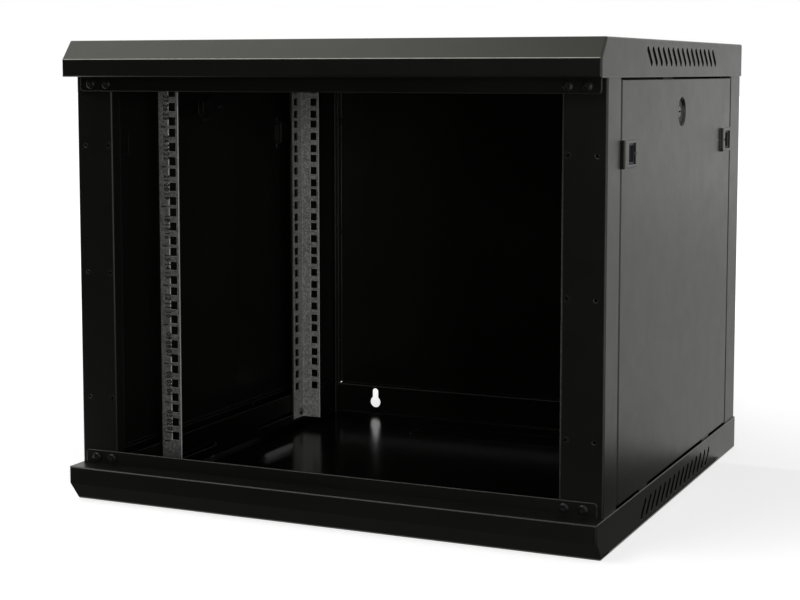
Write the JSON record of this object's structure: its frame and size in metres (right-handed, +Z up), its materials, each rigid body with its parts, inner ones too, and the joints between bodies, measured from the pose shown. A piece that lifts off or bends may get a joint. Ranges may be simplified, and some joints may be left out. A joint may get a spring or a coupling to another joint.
{
  "type": "wall mount network cabinet",
  "caption": "Open-fronted wall mount cabinet shell with bevelled top and base covers, lift-off side panels and adjustable square-hole rack rails.",
  "frame": {"origin": "on the ground under the middle of the cabinet", "axes": "+Z up, the open front faces -Y, +Y towards the wall, +X to the right seen from the front"},
  "size_m": [0.604, 0.566, 0.5],
  "materials": {
    "black_powder_coat": "satin black powder coat on folded sheet steel",
    "galvanised_rail": "zinc-coated sheet steel with a fine speckled grain",
    "zinc_steel": "bright zinc plate",
    "black_screws": "black oxide steel, slightly shiny",
    "black_plastic": "moulded nylon"
  },
  "bodies": {
    "frame": {"back_panel": "black_powder_coat", "back_panel_screws": "black_screws", "base_cable_knockout": "black_powder_coat", "base_frame_bolts": "black_screws", "base_frame_nuts": "zinc_steel", "base_tray": "black_powder_coat", "earth_stud": "zinc_steel", "front_bottom_strip": "black_powder_coat", "front_bottom_strip_screws": "black_screws", "front_left_inserts": "zinc_steel", "front_left_post": "black_powder_coat", "front_right_inserts": "zinc_steel", "front_right_post": "black_powder_coat", "front_top_strip": "black_powder_coat", "front_top_strip_screws": "black_screws", "left_lock_striker": "black_powder_coat", "lower_left_rail_bracket": "black_powder_coat", "lower_right_rail_bracket": "black_powder_coat", "rear_left_post": "black_powder_coat", "rear_right_post": "black_powder_coat", "right_lock_striker": "black_powder_coat", "top_cable_cover": "black_powder_coat", "top_cable_cover_screws": "black_screws", "top_cover": "black_powder_coat", "top_frame_bolts": "black_screws", "top_frame_nuts": "zinc_steel", "upper_left_rail_bracket": "black_powder_coat", "upper_right_rail_bracket": "black_powder_coat"},
    "front_left_rail": {"front_left_rail": "galvanised_rail", "front_left_rail_bolts": "black_screws"},
    "front_right_rail": {"front_right_rail": "galvanised_rail", "front_right_rail_bolts": "black_screws"},
    "rear_left_rail": {"rear_left_rail": "galvanised_rail", "rear_left_rail_bolts": "black_screws"},
    "rear_right_rail": {"rear_right_rail": "galvanised_rail", "rear_right_rail_bolts": "black_screws"},
    "left_panel": {"left_panel": "black_powder_coat", "left_panel_front_keeper": "zinc_steel", "left_panel_rear_keeper": "zinc_steel", "left_lock_body": "zinc_steel", "left_lock_nut": "zinc_steel"},
    "left_front_latch": {"left_panel_front_slider": "black_plastic"},
    "left_rear_latch": {"left_panel_rear_slider": "black_plastic"},
    "left_lock": {"left_lock_plug": "zinc_steel", "left_lock_cam": "zinc_steel", "left_lock_cam_screw": "zinc_steel"},
    "right_panel": {"right_panel": "black_powder_coat", "right_panel_front_keeper": "zinc_steel", "right_panel_rear_keeper": "zinc_steel", "right_lock_body": "zinc_steel", "right_lock_nut": "zinc_steel"},
    "right_front_latch": {"right_panel_front_slider": "black_plastic"},
    "right_rear_latch": {"right_panel_rear_slider": "black_plastic"},
    "right_lock": {"right_lock_plug": "zinc_steel", "right_lock_cam": "zinc_steel", "right_lock_cam_screw": "zinc_steel"}
  },
  "joints": [
    {"name": "front_left_rail_slide", "type": "slide", "parent": "frame", "child": "front_left_rail", "axis": [0, 1, 0], "range_m": [-0.015, 0.11]},
    {"name": "rear_left_rail_slide", "type": "slide", "parent": "frame", "child": "rear_left_rail", "axis": [0, 1, 0], "range_m": [-0.11, 0.015]},
    {"name": "front_right_rail_slide", "type": "slide", "parent": "frame", "child": "front_right_rail", "axis": [0, 1, 0], "range_m": [-0.015, 0.11]},
    {"name": "rear_right_rail_slide", "type": "slide", "parent": "frame", "child": "rear_right_rail", "axis": [0, 1, 0], "range_m": [-0.11, 0.015]},
    {"name": "left_panel_tilt", "type": "hinge", "parent": "frame", "child": "left_panel", "pos_m": [-0.2981, 0.0095, 0.0385], "axis": [0, -1, 0], "range_deg": [0, 25]},
    {"name": "left_front_latch_slide", "type": "slide", "parent": "left_panel", "child": "left_front_latch", "axis": [0, -1, 0], "range_m": [0, 0.0075]},
    {"name": "left_rear_latch_slide", "type": "slide", "parent": "left_panel", "child": "left_rear_latch", "axis": [0, 1, 0], "range_m": [0, 0.0075]},
    {"name": "left_lock_turn", "type": "hinge", "parent": "left_panel", "child": "left_lock", "pos_m": [-0.285, 0.01, 0.424], "axis": [-1, 0, 0], "range_deg": [0, 90]},
    {"name": "right_panel_tilt", "type": "hinge", "parent": "frame", "child": "right_panel", "pos_m": [0.2981, 0.0095, 0.0385], "axis": [0, 1, 0], "range_deg": [0, 25]},
    {"name": "right_front_latch_slide", "type": "slide", "parent": "right_panel", "child": "right_front_latch", "axis": [0, -1, 0], "range_m": [0, 0.0075]},
    {"name": "right_rear_latch_slide", "type": "slide", "parent": "right_panel", "child": "right_rear_latch", "axis": [0, 1, 0], "range_m": [0, 0.0075]},
    {"name": "right_lock_turn", "type": "hinge", "parent": "right_panel", "child": "right_lock", "pos_m": [0.285, 0.01, 0.424], "axis": [-1, 0, 0], "range_deg": [0, 90]}
  ]
}
